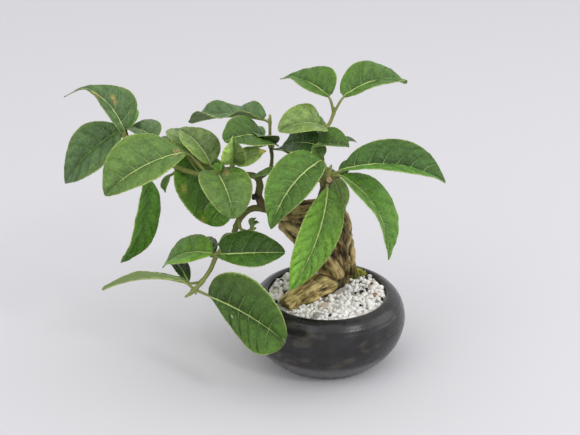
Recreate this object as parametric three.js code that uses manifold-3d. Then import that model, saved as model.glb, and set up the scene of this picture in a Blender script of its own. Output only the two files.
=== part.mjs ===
// Spindle tree grown as a small bonsai in a low round pot.
// Millimetres, +Z up. The origin is the centre of the pot's flat underside,
// and the side that the photograph shows faces -Y.
import * as THREE from 'three';
import { mergeVertices } from 'three/addons/utils/BufferGeometryUtils.js';
import Module from 'manifold-3d';

const wasm = await Module();
wasm.setup();

// Pot: a squat bowl with an incurved shoulder and a rounded lip.
const POT_FOOT_R = 26.8;
const POT_BELLY_R = 40;
const POT_BELLY_Z = 20.5;
const POT_LIP_R = 31.3;
const POT_HEIGHT = 36.2;
const POT_MOUTH_R = 30.2;
const POT_WALL = 4;
const POT_FLOOR = 5;
const POT_SIDES = 40;

// Gravel over the soil, level at the trunk's cut.
const SOIL_TOP = 34.6;
const GAP = 0.3;

// Wood.
const TRUNK_SIDES = 16;
const TRUNK_STEP = 4;
const FLUTE_DEPTH = 0.09;
const BEND_AT = 0.53;
const BOUGH_SIDES = 8;
const BOUGH_STEP = 3;
const STEM_SIDES = 6;
const STEM_STEP = 5;

// Leaves.
const LEAF_STATIONS = 8;
const LEAF_THICK = 0.6;
const LEAF_EDGE = 0.36;
const LEAF_ARCH = 0.12;
const LEAF_FOLD = 18;
const LEAF_WIDEST = 0.42;
const LEAF_FALL = 0.92;
const LEAF_TAIL = 0.3;
const TAIL_AT = 0.88;
const TAIL_SPAN = 0.085;
const HANG_FROM = 0.8;
const LOBE_SPAN = 0.12;
const RIPPLE_FADE = 0.2;
const STALK_R = 0.75;
const STALK_SIDES = 4;
const BUD_LENGTH = 2.6;
const BUD_R = 0.75;

const vec = (p) => new THREE.Vector3(p[0], p[1], p[2]);

// A small repeatable number source, so every run gives the same plant.
function seeded(seed) {
  let state = seed;
  return () => {
    state = (state * 16807) % 2147483647;
    return state / 2147483647;
  };
}

// A closed skin over a row of rings that all have the same number of points.
function loft(rings) {
  const count = rings[0].length;
  const positions = [];
  const index = [];
  for (const ring of rings) {
    for (const p of ring) positions.push(p.x, p.y, p.z);
  }
  for (let i = 0; i + 1 < rings.length; i += 1) {
    for (let j = 0; j < count; j += 1) {
      const a = i * count + j;
      const b = i * count + ((j + 1) % count);
      index.push(a, b, a + count, b, b + count, a + count);
    }
  }
  const last = (rings.length - 1) * count;
  for (let j = 1; j + 1 < count; j += 1) {
    index.push(0, j + 1, j);
    index.push(last, last + j, last + j + 1);
  }
  const geometry = new THREE.BufferGeometry();
  geometry.setAttribute('position', new THREE.Float32BufferAttribute(positions, 3));
  geometry.setIndex(index);
  return geometry;
}

// Points are rounded to a micrometre, so near ones meet, and the faces that close up are left out.
function solid(geometry) {
  geometry.deleteAttribute('normal');
  geometry.deleteAttribute('uv');
  const rounded = geometry.clone();
  rounded.attributes.position.array.forEach((value, i, list) => {
    list[i] = Math.round(value * 1000) / 1000;
  });
  const merged = mergeVertices(rounded, 2e-4);
  const vertProperties = new Float32Array(merged.attributes.position.array);
  const kept = [];
  for (let i = 0; i < merged.index.count; i += 3) {
    const [a, b, c] = merged.index.array.slice(i, i + 3);
    if (a !== b && b !== c && c !== a) kept.push(a, b, c);
  }
  const triVerts = new Uint32Array(kept);
  return new wasm.Manifold(new wasm.Mesh({ numProp: 3, vertProperties, triVerts }));
}

function surface(body) {
  const mesh = body.getMesh();
  const geometry = new THREE.BufferGeometry();
  geometry.setAttribute('position', new THREE.BufferAttribute(mesh.vertProperties, 3));
  geometry.setIndex(new THREE.BufferAttribute(mesh.triVerts, 1));
  return geometry;
}

// The main body of a joined solid: scraps and sealed hollows are dropped.
function mainBody(joined) {
  const bodies = solid(surface(joined)).decompose();
  bodies.sort((a, b) => b.volume() - a.volume());
  return bodies[0];
}

function part(name, body, colour, roughness) {
  const geometry = surface(body);
  geometry.computeVertexNormals();
  const material = new THREE.MeshStandardMaterial({ color: colour, roughness, metalness: 0 });
  const piece = new THREE.Mesh(geometry, material);
  piece.name = name;
  return piece;
}

// A limb is a smooth line with a girth at each of its marks.
function limb(marks) {
  const line = new THREE.CatmullRomCurve3(marks.map(vec), false, 'centripetal');
  const last = marks.length - 1;
  const radius = (t) => {
    const place = Math.min(t * last, last - 1e-6);
    const i = Math.floor(place);
    return marks[i][3] + (marks[i + 1][3] - marks[i][3]) * (place - i);
  };
  return { line, radius };
}

// Rings along a limb, carried without twist. The shape says how the girth varies round it.
function limbRings(stick, sides, step, grow, shape) {
  const { line, radius } = stick;
  const count = Math.max(2, Math.round(line.getLength() / step));
  const rings = [];
  let side = null;
  for (let i = 0; i <= count; i += 1) {
    const t = i / count;
    const along = line.getTangent(t);
    const end = Number(i === count) - Number(i === 0);
    const centre = line.getPoint(t).addScaledVector(along, end * grow);
    if (!side) {
      const start = Math.abs(along.z) > 0.9 ? new THREE.Vector3(1, 0, 0) : new THREE.Vector3(0, 0, 1);
      side = new THREE.Vector3().crossVectors(along, start).normalize();
    }
    side.addScaledVector(along, -side.dot(along)).normalize();
    const other = new THREE.Vector3().crossVectors(along, side);
    const ring = [];
    for (let j = 0; j < sides; j += 1) {
      const angle = (j / sides) * Math.PI * 2;
      const r = radius(t) * (shape ? shape(angle, t) : 1) + grow;
      const p = centre.clone();
      p.addScaledVector(side, Math.cos(angle) * r);
      p.addScaledVector(other, Math.sin(angle) * r);
      ring.push(p);
    }
    rings.push(ring);
  }
  return rings;
}

const limbSolid = (stick, sides, step, grow = 0, shape = null) => (
  solid(loft(limbRings(stick, sides, step, grow, shape))));

// Everything below a level, as a block to cut with.
function below(level) {
  const block = new THREE.BoxGeometry(200, 200, 100);
  block.translate(0, 0, level - 50);
  return solid(block);
}

// Pot and its fill
function lathe(profile) {
  const points = profile.map(([r, z]) => new THREE.Vector2(r, z));
  const geometry = new THREE.LatheGeometry(points, POT_SIDES);
  geometry.rotateX(Math.PI / 2);
  return solid(geometry);
}

const potInside = [
  [POT_MOUTH_R, 33.5],
  [POT_LIP_R + 2.3, 30.2],
  [POT_BELLY_R - POT_WALL, POT_BELLY_Z],
  [34, 13],
  [29, POT_FLOOR + 1.6],
  [26, POT_FLOOR],
];

const pot = lathe([
  [0, 0],
  [POT_FOOT_R, 0],
  [POT_FOOT_R + 1, 0.8],
  [33.5, 6],
  [38, 13],
  [POT_BELLY_R, POT_BELLY_Z],
  [POT_BELLY_R - 0.2, 25],
  [38.6, 29.5],
  [36.4, 33.2],
  [33.5, 35.6],
  [POT_LIP_R, POT_HEIGHT],
  [POT_MOUTH_R + 0.2, POT_HEIGHT - 0.6],
  ...potInside,
  [0, POT_FLOOR],
]);

const FILL_CLEAR = 0.4;
const fillWall = potInside.map(([r, z]) => [r - FILL_CLEAR, z + (z < 8 ? FILL_CLEAR : 0)]).reverse();
const gravel = lathe([
  [0, POT_FLOOR + FILL_CLEAR],
  ...fillWall,
  [POT_MOUTH_R - FILL_CLEAR, SOIL_TOP - 0.6],
  [POT_MOUTH_R - 1.5, SOIL_TOP],
  [0, SOIL_TOP],
]);

// Trunk: a thick surface root lies across the gravel from the front left, the stem
// turns up at the back right, then hooks over to the left. A second strand braces the
// hook from the root, and a thin leg stands behind. Marks are x, y, z, girth radius.
const surfaceRoot = limb([
  [-21, -15.6, 34.6, 4.7],
  [-12, -8, 37.6, 5.6],
  [-3.5, -1.2, 39.2, 6],
  [4.2, 4.6, 39, 5.4],
]);
const stemLine = limb([
  [3, 9, 26, 7],
  [3.4, 10, 45, 6.2],
  [4.4, 9.6, 56, 7],
  [5, 9, 66, 7.6],
  [1, 5.5, 75, 7.6],
  [-11, 0, 77.6, 6.8],
  [-21, -4, 80.6, 4.8],
  [-29.5, -5, 84.3, 3.2],
]);
const brace = limb([
  [-20, -2.6, 77, 5.6],
  [-13, 0, 69.4, 6.8],
  [-7, 2.5, 60, 6.8],
  [-1.5, 4, 51, 6.2],
  [2.2, 4.4, 45, 5.6],
  [4.2, 4.6, 39.5, 5.6],
]);
const backLeg = limb([
  [13.2, 19, 31, 3.4],
  [12.6, 16, 43, 2.7],
  [12, 13, 50, 2.5],
  [10.6, 10, 61, 2.4],
  [8.6, 7.4, 70, 2.6],
  [3, 4.6, 76, 2.4],
]);

// Shallow flutes wind up the wood.
const fluted = (angle, t) => (
  1 + FLUTE_DEPTH * Math.cos(3 * angle + 5 * t) + FLUTE_DEPTH * 0.6 * Math.cos(5 * angle - 4 * t));

const woodSolid = (stick, grow) => limbSolid(stick, TRUNK_SIDES, TRUNK_STEP, grow, fluted);
const strands = (grow) => (
  woodSolid(surfaceRoot, grow).add(woodSolid(brace, grow)).add(woodSolid(backLeg, grow)));

// The stem is split where it bends over, into the standing part and the hook, and the
// other strands are cut clear of the hook.
const stemRings = limbRings(stemLine, TRUNK_SIDES, TRUNK_STEP, 0, fluted);
const bend = Math.round((stemRings.length - 1) * BEND_AT);
const clear = stemLine.line.getTangent(bend / (stemRings.length - 1)).multiplyScalar(GAP);
const hookStart = stemRings[bend].map((p) => p.clone().add(clear));
const standingStem = solid(loft(stemRings.slice(0, bend + 1)));
const hook = solid(loft([hookStart, ...stemRings.slice(bend + 1)]));
const hookRoom = solid(loft(limbRings(stemLine, TRUNK_SIDES, TRUNK_STEP, GAP, fluted).slice(bend)));
const joined = standingStem.add(strands(0).subtract(hookRoom));
const trunk = mainBody(joined.subtract(below(SOIL_TOP + GAP)));

// Boughs, each one tapering limb from the trunk or from another bough.
const boughs = {
  bough_upper_left: limb([
    [-26, -4.6, 82.6, 2.6],
    [-32, -5, 86, 2.1],
    [-34, -4, 90.5, 1.8],
    [-33.4, -3, 96, 1.6],
    [-35, -2.4, 99.6, 1.4],
    [-39.5, -3, 101, 1.3],
    [-45, -5, 102.4, 1.25],
  ]),
  bough_lower_left: limb([
    [-28, -5.6, 83, 1.9],
    [-32.7, -5.6, 84.4, 1.7],
    [-37.5, -7, 84.9, 1.5],
    [-41.5, -10, 83.2, 1.4],
    [-44.4, -13, 79.2, 1.35],
    [-45.9, -15, 75.6, 1.3],
  ]),
  bough_back: limb([
    [-34, -2.4, 98.6, 1],
    [-28.4, 2.6, 101.8, 0.9],
    [-27.6, 8, 106, 0.8],
    [-28.1, 11, 108.5, 0.75],
  ]),
  bough_right: limb([
    [-2, 3, 76, 3.6],
    [-3.8, 0, 82, 3.1],
    [-3.1, -6, 89, 2.6],
    [-1.4, -11, 98.6, 2.2],
    [-0.8, -13, 101.4, 2.1],
  ]),
  bough_top: limb([
    [-2.2, -8.6, 94, 1.4],
    [-3.6, -3.4, 101.4, 1.25],
    [-3.3, 2.4, 107.4, 1.1],
    [-5.4, 7.6, 113, 1],
  ]),
};

const boughSolids = {};
let standing = woodSolid(stemLine, GAP).add(strands(GAP));
for (const [name, stick] of Object.entries(boughs)) {
  boughSolids[name] = mainBody(limbSolid(stick, BOUGH_SIDES, BOUGH_STEP).subtract(standing));
  standing = standing.add(limbSolid(stick, BOUGH_SIDES, BOUGH_STEP, GAP));
}

// Samples of all limbs, for keeping leaves clear of them.
const allLimbs = [surfaceRoot, stemLine, brace, backLeg, ...Object.values(boughs)];
const limbSamples = allLimbs.flatMap((stick) => (
  Array.from({ length: 25 }, (_, i) => ({
    point: stick.line.getPoint(i / 24),
    radius: stick.radius(i / 24),
  }))));

// One leaf. Its blade starts at foot and its point ends at foot + reach. It arches up
// between them, is bent to one side, folded along the midrib and rolled about its own
// length. Its point may hang, and its base may run back into two lobes.
function leafLine(leaf) {
  const foot = vec(leaf.foot);
  const reach = vec(leaf.reach);
  const length = reach.length();
  const along = reach.clone().normalize();
  const face = new THREE.Vector3(0, 0, 1);
  face.addScaledVector(along, -along.z).normalize();
  face.applyAxisAngle(along, THREE.MathUtils.degToRad(leaf.roll ?? 0));
  const across = new THREE.Vector3().crossVectors(along, face);
  const arch = leaf.arch ?? LEAF_ARCH;
  const hang = leaf.hang ?? 0;
  const bow = leaf.bend ?? 0;
  const middle = (s) => {
    const curve = 4 * s * (1 - s) * length;
    const droop = hang * length * Math.max((s - HANG_FROM) / (1 - HANG_FROM), 0) ** 2;
    return foot.clone().addScaledVector(reach, s)
      .addScaledVector(face, arch * curve - droop)
      .addScaledVector(across, bow * curve);
  };
  return { middle, face };
}

// Half width along the blade on one side of the rib, as a share of half the leaf's width.
function outline(leaf, s, side) {
  const widest = (leaf.widest ?? LEAF_WIDEST) + side * (leaf.lean ?? 0);
  const fall = leaf.blunt ?? LEAF_FALL;
  const rise = fall * widest / (1 - widest);
  const full = widest ** rise * (1 - widest) ** fall;
  const tail = 1 - (leaf.tail ?? LEAF_TAIL) * Math.exp(-(((s - TAIL_AT) / TAIL_SPAN) ** 2));
  return ((s ** rise * (1 - s) ** fall) / full) * tail * (1 + side * (leaf.skew ?? 0));
}

// A few leaves have waved margins.
function ripple(leaf, s) {
  if (!leaf.wave) return 0;
  const fade = Math.min(s / RIPPLE_FADE, (1 - s) / RIPPLE_FADE, 1);
  return leaf.wave * fade * Math.cos(2 * Math.PI * leaf.waves * (s - leaf.crest));
}

function bladeRings(leaf) {
  const { middle, face } = leafLine(leaf);
  const fold = THREE.MathUtils.degToRad(leaf.fold ?? LEAF_FOLD);
  const rings = [];
  for (let i = 0; i < LEAF_STATIONS; i += 1) {
    const s = 0.015 + 0.975 * (i / (LEAF_STATIONS - 1));
    const centre = middle(s);
    const margin = middle(s - (leaf.lobe ?? 0) * Math.exp(-s / LOBE_SPAN));
    const along = middle(Math.min(s + 0.01, 1)).sub(middle(s - 0.01)).normalize();
    const side = new THREE.Vector3().crossVectors(along, face).normalize();
    const up = new THREE.Vector3().crossVectors(side, along);
    const at = (across, lift) => {
      const half = Math.max((leaf.width / 2) * outline(leaf, s, across), 0.5);
      const rise = Math.abs(across) * (half * Math.sin(fold) + ripple(leaf, s));
      return (across ? margin : centre).clone()
        .addScaledVector(side, across * half * Math.cos(fold))
        .addScaledVector(up, rise + lift);
    };
    rings.push([
      at(0, -LEAF_THICK / 2),
      at(-1, -LEAF_EDGE / 2),
      at(-1, LEAF_EDGE / 2),
      at(0, LEAF_THICK / 2),
      at(1, LEAF_EDGE / 2),
      at(1, -LEAF_EDGE / 2),
    ]);
  }
  return rings;
}

// The stalk leaves the stem, bends into the blade and runs on under its midrib.
function stalkMarks(leaf, node) {
  const { middle, face } = leafLine(leaf);
  const under = (s) => middle(s).addScaledVector(face, -0.25);
  const marks = [node, vec(leaf.foot).addScaledVector(face, -0.25), under(0.16)];
  const girths = [STALK_R * 1.15, STALK_R, STALK_R * 0.7];
  return marks.map((p, i) => [p.x, p.y, p.z, girths[i]]);
}

// A leaf keeps to its mass's space and stays off the wood.
function fits(rings, space) {
  const box = new THREE.Box3(vec(space[0]), vec(space[1]));
  return rings.flat().every((p) => (
    box.containsPoint(p)
      && limbSamples.every(({ point, radius }) => p.distanceTo(point) > radius + GAP)));
}

function budSolid(at, along, length) {
  const tip = at.clone().addScaledVector(along, length);
  const belly = at.clone().lerp(tip, 0.4);
  return limbSolid(limb([
    [at.x, at.y, at.z, BUD_R * 0.8],
    [belly.x, belly.y, belly.z, BUD_R],
    [tip.x, tip.y, tip.z, 0.2],
  ]), STALK_SIDES, length);
}

// The stem of a spray carries on in line from its bough's tip, a hair clear of it.
function stemFrom(bough, marks) {
  const { line, radius } = boughs[bough];
  const along = line.getTangent(1);
  const start = line.getPoint(1).addScaledVector(along, GAP);
  const next = start.clone().addScaledVector(along, 1.2);
  const r = radius(1) * 0.9;
  return limb([[start.x, start.y, start.z, r], [next.x, next.y, next.z, r], ...marks]);
}

// A spray is one stem with leaf pairs at its nodes, buds in their axils and a bud at its end.
function spray({ bough, stem, twigs = [], leaves, space, seed }) {
  const random = seeded(seed);
  const sticks = [stemFrom(bough, stem), ...twigs.map(limb)];
  let body = limbSolid(sticks[0], STEM_SIDES, STEM_STEP);
  for (const stick of sticks.slice(1)) body = body.add(limbSolid(stick, STEM_SIDES, STEM_STEP));
  for (const stick of sticks) {
    const tip = stick.line.getPoint(0.98);
    body = body.add(budSolid(tip, stick.line.getTangent(1), BUD_LENGTH));
  }
  for (const leaf of leaves) {
    const stick = sticks[leaf.twig ?? 0];
    const node = stick.line.getPoint(leaf.at);
    const rings = bladeRings(leaf);
    const budLength = BUD_LENGTH * (0.7 + 0.5 * random());
    if (!fits(rings, space)) continue;
    const stalk = limb(stalkMarks(leaf, node));
    const axil = stalk.line.getTangent(0).add(stick.line.getTangent(leaf.at)).normalize();
    body = body.add(solid(loft(rings)));
    body = body.add(limbSolid(stalk, STALK_SIDES, STEM_STEP));
    body = body.add(budSolid(node, axil, budLength));
  }
  return mainBody(body.subtract(standing));
}

// Leaves are given by where they sit along the stem, the foot of the blade, its reach
// to the point and its width.
const sprays = {
  spray_right: {
    seed: 11,
    bough: 'bough_right',
    space: [[-40, -60, 50], [62, 40, 124]],
    stem: [[-0.6, -14, 105.4, 1.5], [0.4, -13.6, 108.6, 1.2]],
    leaves: [
      {
        at: 0.1, foot: [-1, -20, 102], reach: [-18, -22, -44], width: 22.6, arch: 0.06, roll: -58,
        bend: -0.05, widest: 0.42, lean: 0.07, tail: 0.05, skew: 0.1,
      },
      {
        at: 0.1, foot: [2.2, -5.7, 101.6], reach: [5.7, 5, -22], width: 10.5, arch: 0.03, roll: 108,
        fold: 13, tail: 0.1,
      },
      {
        at: 0.7, foot: [6, -14, 108], reach: [50, 2, -7.5], width: 28, arch: 0.14, roll: 17, fold: 28,
        widest: 0.48, blunt: 0.8, tail: 0,
      },
      {
        at: 0.6, foot: [5.4, -18, 107], reach: [23, -12, -39], width: 27.5, arch: 0.16, roll: -6,
        fold: 16, tail: 0.05, skew: -0.04,
      },
      {
        at: 0.7, foot: [-3.4, -14, 113], reach: [-24.2, -26, -24], width: 25.4, roll: -12, fold: 16,
        bend: 0.045, widest: 0.38, lean: -0.05, tail: 0.1, skew: 0.05,
      },
      { at: 0.5, foot: [5, -8, 105], reach: [30, 24, -9], width: 13, arch: 0.08 },
      { at: 0.3, foot: [5, -6, 100.5], reach: [-2, 37, -21], width: 20 },
      {
        at: 0.3, foot: [-8, -10, 101.5], reach: [-31.2, 1.5, 0], width: 12, arch: 0.1, fold: 10,
        tail: 0.1,
      },
    ],
  },
  spray_top: {
    seed: 23,
    bough: 'bough_top',
    space: [[-40, -20, 98], [50, 66, 146]],
    stem: [
      [-4, 11.6, 117.4, 0.95],
      [0.5, 15, 120.5, 0.85],
      [3, 18, 125.6, 0.75],
    ],
    leaves: [
      { at: 0.16, foot: [-4.5, 4, 113.4], reach: [-18, 5, -2], width: 23, roll: -20, fold: 14 },
      {
        at: 0.16, foot: [-6.2, 2.5, 113.2], reach: [16.2, -2.5, 1], width: 23, roll: 4, fold: 20,
        blunt: 0.8, tail: 0,
      },
      {
        at: 0.66, foot: [-3.8, 13, 120.4], reach: [-20.5, -12, 1.7], width: 22.5, arch: 0.14, roll: -24,
        fold: 22, widest: 0.3, blunt: 0.6, lean: -0.08, tail: 0,
      },
      { at: 0.6, foot: [-4, 19, 115.5], reach: [-16, 32, -13], width: 17 },
      {
        at: 0.99, foot: [0.7, 19, 133], reach: [-24.5, 25, 1], width: 25, roll: -10, fold: 28,
        widest: 0.28, blunt: 1.9, tail: 0.1,
      },
      {
        at: 0.99, foot: [7.3, 19, 133], reach: [32.5, 25, -1.5], width: 24.5, arch: 0.14, roll: 14,
        fold: 26, blunt: 0.8, tail: 0,
      },
      { at: 0.16, foot: [7.4, 8, 114.2], reach: [6.8, 2, -1.4], width: 7.4, fold: 12, tail: 0 },
      { at: 0.1, foot: [-4.7, 0.5, 116.4], reach: [0, -3.5, -7.5], width: 7.6, fold: 12, tail: 0 },
    ],
  },
  spray_back: {
    seed: 37,
    bough: 'bough_back',
    space: [[-74, -16, 92], [0, 66, 134]],
    stem: [[-28.6, 15.6, 115.6, 0.7], [-28.6, 19.6, 122, 0.65]],
    leaves: [
      { at: 0.25, foot: [-25, 11, 109], reach: [17, -13, -2.5], width: 16, arch: 0.08 },
      {
        at: 0.4, foot: [-30.1, 14, 112], reach: [-20, -24, 9], width: 25, roll: -24, fold: 14,
        widest: 0.4, blunt: 0.58, tail: 0.1,
      },
      { at: 0.25, foot: [-29, 10, 111], reach: [-5, -12, 9.5], width: 14, fold: 14 },
      {
        at: 0.9, foot: [-31, 20, 121], reach: [-38, 16, -8], width: 24, arch: 0.06, roll: 2, fold: 24,
        widest: 0.5, blunt: 0.5, tail: 0, wave: 2.6, crest: 0.14, waves: 1.6,
      },
      { at: 0.45, foot: [-36, 20, 107], reach: [-9, 34, -9], width: 18 },
    ],
  },
  spray_upper_left: {
    seed: 41,
    bough: 'bough_upper_left',
    space: [[-136, -42, 52], [-24, 54, 150]],
    stem: [
      [-55, -8, 104.6, 1.2],
      [-62, -7, 103.2, 1.2],
      [-68, -6, 104.2, 1.2],
      [-74, -4, 105.6, 1.15],
      [-87, 0, 112.5, 1],
      [-100, 5, 118.5, 0.9],
    ],
    twigs: [[[-47.5, -5.6, 103, 1], [-47.2, -6, 105.4, 0.9], [-46.4, -6, 107.6, 0.8]]],
    leaves: [
      {
        twig: 1, at: 0.9, foot: [-46.1, -7, 108.9], reach: [0.6, -7.5, 17.1], width: 13.5, arch: 0.1,
        roll: 180, fold: 28,
      },
      { twig: 1, at: 0.8, foot: [-45, -6, 108], reach: [15, 2, 6], width: 10, roll: 40, fold: 10 },
      {
        at: 0.17, foot: [-52.8, -14, 105.3], reach: [8, -20, -13.6], width: 26, fold: 15, lobe: 0.22,
        widest: 0.36, blunt: 0.62, tail: 0,
      },
      { at: 0.17, foot: [-57, -6, 107.5], reach: [-16, 16, 12], width: 21 },
      {
        at: 0.36, foot: [-68, -9, 115], reach: [-38, -17, -15], width: 35, roll: -18, widest: 0.52,
        blunt: 0.88, tail: 0, skew: 0.06,
      },
      {
        at: 0.36, foot: [-71.1, 6.4, 108.3], reach: [20, -3, -36], width: 34, arch: 0.08, roll: 34,
        fold: 12, blunt: 0.75, tail: 0, skew: 0.22,
      },
      { at: 0.62, foot: [-76, 9, 97], reach: [-5, 3, -12], width: 9 },
      {
        at: 0.78, foot: [-89, -4, 100], reach: [-13, -10, -41], width: 22.4, arch: 0.1, roll: -105,
        fold: 24, bend: -0.05, widest: 0.46, blunt: 0.75, tail: 0.1, skew: 0.2,
      },
      { at: 0.8, foot: [-85, 6, 115.4], reach: [-16, 19, -1.5], width: 20 },
      {
        at: 0.99, foot: [-99.1, 3.4, 121.1], reach: [-23.2, 6.2, 22.2], width: 21.6, arch: 0.175,
        roll: -14, fold: 9, hang: 0.374, widest: 0.28, blunt: 1.46, tail: 0.04, skew: 0.45,
      },
      {
        at: 0.99, foot: [-100, 9, 120.6], reach: [-31, 3, -30.6], width: 26, roll: -50, fold: 14,
        blunt: 1.1, tail: 0.05,
      },
      { at: 0.62, foot: [-77, 4, 104], reach: [-19, 36, -7], width: 24 },
      { at: 0.2, foot: [-66, 2, 108], reach: [-12, 26, 5], width: 18 },
      { at: 0.97, foot: [-99, 11, 118.5], reach: [-3, 34, -6], width: 13 },
      { at: 0.17, foot: [-53.8, -11, 105.9], reach: [2.4, 2, 4], width: 6.4, fold: 12, tail: 0.1 },
      {
        at: 0.17, foot: [-47.3, -9.5, 93.2], reach: [-11.4, 1.5, -16.5], width: 13.5, arch: 0.06,
        roll: -90, fold: 14, widest: 0.52, blunt: 0.7, tail: 0,
      },
    ],
  },
  spray_lower_left: {
    seed: 59,
    bough: 'bough_lower_left',
    space: [[-118, -72, 20], [-14, 24, 92]],
    stem: [
      [-54.2, -19, 65.5, 1.25],
      [-57.9, -23, 58.6, 1.15],
      [-65.5, -27, 50, 1.05],
      [-68, -28, 48.4, 0.95],
    ],
    twigs: [[
      [-43.6, -13, 81.6, 0.9],
      [-42.6, -16.4, 78.4, 0.8],
      [-39.6, -17.8, 77.8, 0.75],
      [-36.9, -18.4, 79, 0.7],
    ]],
    leaves: [
      { twig: 1, at: 0.95, foot: [-36.4, -18.4, 79.7], reach: [1.5, 0.4, 5.3], width: 7, fold: 30 },
      { twig: 1, at: 0.9, foot: [-36.8, -18.8, 79.4], reach: [3.4, -1.2, 4], width: 5.5, fold: 30 },
      {
        at: 0.26, foot: [-52, -25.3, 68.8], reach: [31.1, -8, 5], width: 21.5, arch: 0.012, roll: 30,
        fold: 8, lobe: 0.1, blunt: 0.7, lean: 0.11, tail: 0, skew: -0.17,
      },
      {
        at: 0.26, foot: [-56, -19, 66], reach: [-26, 11, -13], width: 25, arch: 0.14, roll: -14,
        fold: 14,
      },
      {
        at: 0.78, foot: [-69, -27, 54.5], reach: [-42, 7, -8], width: 16.5, arch: 0.09, roll: 29,
        blunt: 0.6, tail: 0,
      },
      {
        at: 0.78, foot: [-58.3, -28.5, 48.2], reach: [37.8, -29.1, -9.4], width: 35.7, arch: -0.03,
        roll: 75, fold: 20, bend: -0.03, widest: 0.59, blunt: 0.5, lean: 0.11, tail: 0, skew: -0.24,
      },
      { at: 0.22, foot: [-51, -15, 65], reach: [18, 30, -15], width: 20 },
      { at: 0.32, foot: [-57, -15, 63], reach: [-16, 31, -14], width: 18 },
      { at: 0.7, foot: [-68.5, -21, 51.5], reach: [-13, 33, -6], width: 9 },
    ],
  },
};

const tree = new THREE.Group();
tree.add(part('pot', pot, 0x444346, 0.45));
tree.add(part('gravel_fill', gravel, 0xcecbc5, 0.9));
tree.add(part('trunk', trunk, 0x7a6a43, 0.8));
tree.add(part('trunk_hook', hook, 0x7a6a43, 0.8));
for (const [name, body] of Object.entries(boughSolids)) {
  tree.add(part(name, body, 0x61582f, 0.75));
}
for (const [name, plan] of Object.entries(sprays)) {
  tree.add(part(name, spray(plan), 0x5c7a3e, 0.45));
}

export default tree;
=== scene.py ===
import math

import bmesh
import bpy
import numpy as np
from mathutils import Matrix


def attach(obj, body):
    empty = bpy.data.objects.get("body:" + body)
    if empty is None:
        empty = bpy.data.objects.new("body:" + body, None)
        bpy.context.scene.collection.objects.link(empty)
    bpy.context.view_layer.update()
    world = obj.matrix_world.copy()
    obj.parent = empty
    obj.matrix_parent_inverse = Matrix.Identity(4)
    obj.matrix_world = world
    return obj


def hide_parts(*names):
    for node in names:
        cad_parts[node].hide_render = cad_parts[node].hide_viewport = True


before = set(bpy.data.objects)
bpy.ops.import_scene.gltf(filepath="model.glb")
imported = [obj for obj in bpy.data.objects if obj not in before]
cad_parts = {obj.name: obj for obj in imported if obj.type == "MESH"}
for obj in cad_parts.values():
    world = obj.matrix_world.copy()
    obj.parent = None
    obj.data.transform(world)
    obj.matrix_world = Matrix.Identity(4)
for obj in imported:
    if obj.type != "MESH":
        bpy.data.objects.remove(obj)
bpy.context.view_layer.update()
scene = bpy.context.scene
mm = 0.001  # sizes below are in millimetres


def show(name, data):
    ob = bpy.data.objects.new(name, data)
    scene.collection.objects.link(ob)
    return ob


# camera at the photo's place
cameraSet = {"place": (-18.7, -614, 358), "tiltDown": 24.6, "focalPixels": 1362, "imageWide": 580,
             "sensorWide": 36, "nearest": 0.01}

camData = bpy.data.cameras.new("photoCamera")
camData.sensor_width = cameraSet["sensorWide"]
camData.lens = cameraSet["sensorWide"] * cameraSet["focalPixels"] / cameraSet["imageWide"]
camData.clip_start = cameraSet["nearest"]
camera = show("photoCamera", camData)
camera.location = [v * mm for v in cameraSet["place"]]
camera.rotation_euler = (math.radians(90 - cameraSet["tiltDown"]), 0, 0)
scene.camera = camera
scene.view_settings.view_transform = "Standard"
print("camera set")


# small tools
def colour(code):
    parts = [int(code[i:i + 2], 16) / 255 for i in (0, 2, 4)]
    return np.array([c / 12.92 if c <= 0.04045 else ((c + 0.055) / 1.055) ** 2.4 for c in parts])


def unit(v):
    return v / np.maximum(np.linalg.norm(v, axis=-1, keepdims=True), 1e-9)


def smooth(low, high, x):
    t = np.clip((x - low) / (high - low), 0, 1)
    return t * t * (3 - 2 * t)


def blend(a, b, share):
    share = np.asarray(share)[..., None]
    return a * (1 - share) + b * share


def hashed(cell, seed):
    n = cell.astype(np.uint32)
    mixed = n[..., 0] * np.uint32(374761393) + n[..., 1] * np.uint32(668265263)
    mixed = mixed + n[..., 2] * np.uint32(2246822519) + np.uint32(seed * 40503 % 4294967296)
    mixed = (mixed ^ (mixed >> np.uint32(13))) * np.uint32(1274126177)
    mixed = (mixed ^ (mixed >> np.uint32(15))) * np.uint32(2654435761)
    return ((mixed >> np.uint32(9)) & np.uint32(65535)) / 65535.0


# soft lumps from -1 to 1 at each point, the same on every run
def lumps(points, seed, layers=1):
    points = np.asarray(points, float)
    total, weight, size = 0, 0, 1.0
    for layer in range(layers):
        p = points / size + 1000.5
        cell = np.floor(p).astype(np.int64)
        f = p - cell
        f = f * f * (3 - 2 * f)
        value = 0
        for corner in range(8):
            bit = np.array([corner & 1, corner >> 1 & 1, corner >> 2])
            share = np.prod(np.where(bit, f, 1 - f), axis=-1)
            value = value + share * hashed(cell + bit, seed + layer * 17)
        total = total + size * (value * 2 - 1)
        weight += size
        size *= 0.5
    return total / weight


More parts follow.
